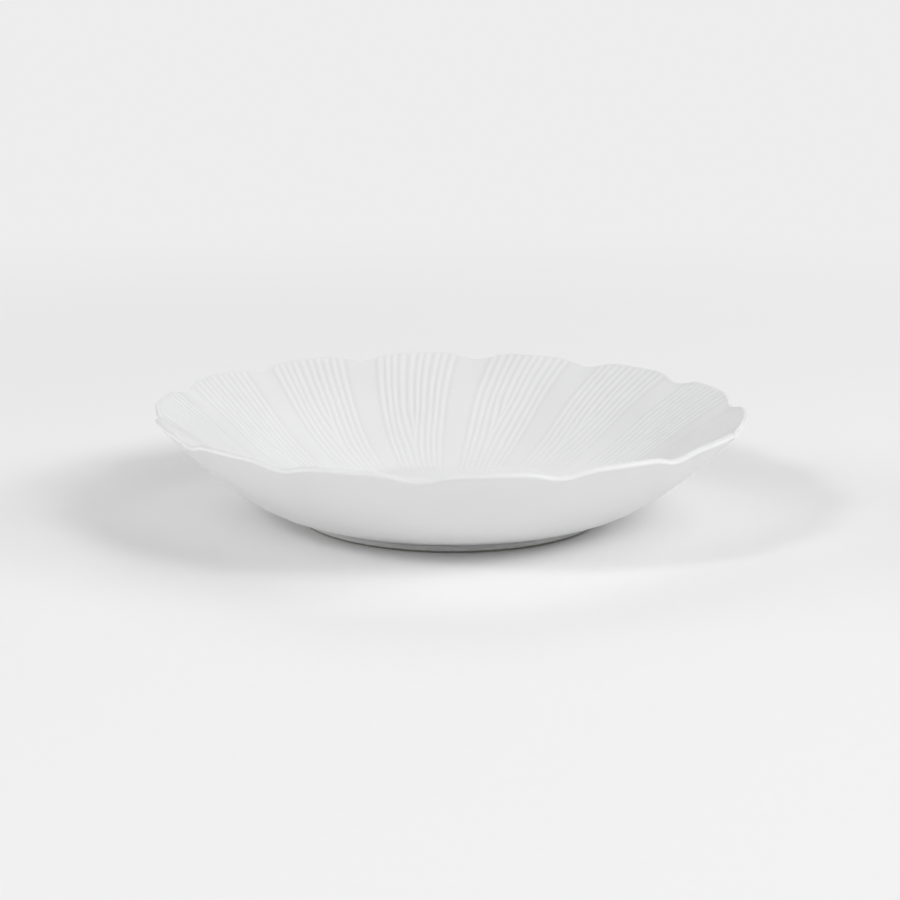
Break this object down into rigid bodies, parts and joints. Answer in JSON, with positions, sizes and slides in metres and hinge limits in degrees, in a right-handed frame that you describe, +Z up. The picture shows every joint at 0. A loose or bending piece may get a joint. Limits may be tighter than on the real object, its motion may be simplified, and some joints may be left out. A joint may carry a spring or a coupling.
{
  "type": "soup plate",
  "caption": "Round shallow soup plate in white glazed porcelain, with finely ribbed petals, a scalloped rim and a low foot ring.",
  "frame": {"origin": "centre of the plate, on the plane of the foot ring's bearing strip", "axes": "+Z up along the axis of the plate; +X towards the tip of a petal; +Y towards a notch of the rim"},
  "size_m": [0.23, 0.2282, 0.0433],
  "materials": {
    "glazed_porcelain": "clear gloss glaze over white hard-paste porcelain",
    "foot_porcelain": "clear gloss glaze with a bare, polished bearing strip"
  },
  "bodies": {
    "root": {"plate_body": "glazed_porcelain", "foot_ring": "foot_porcelain"}
  },
  "joints": []
}
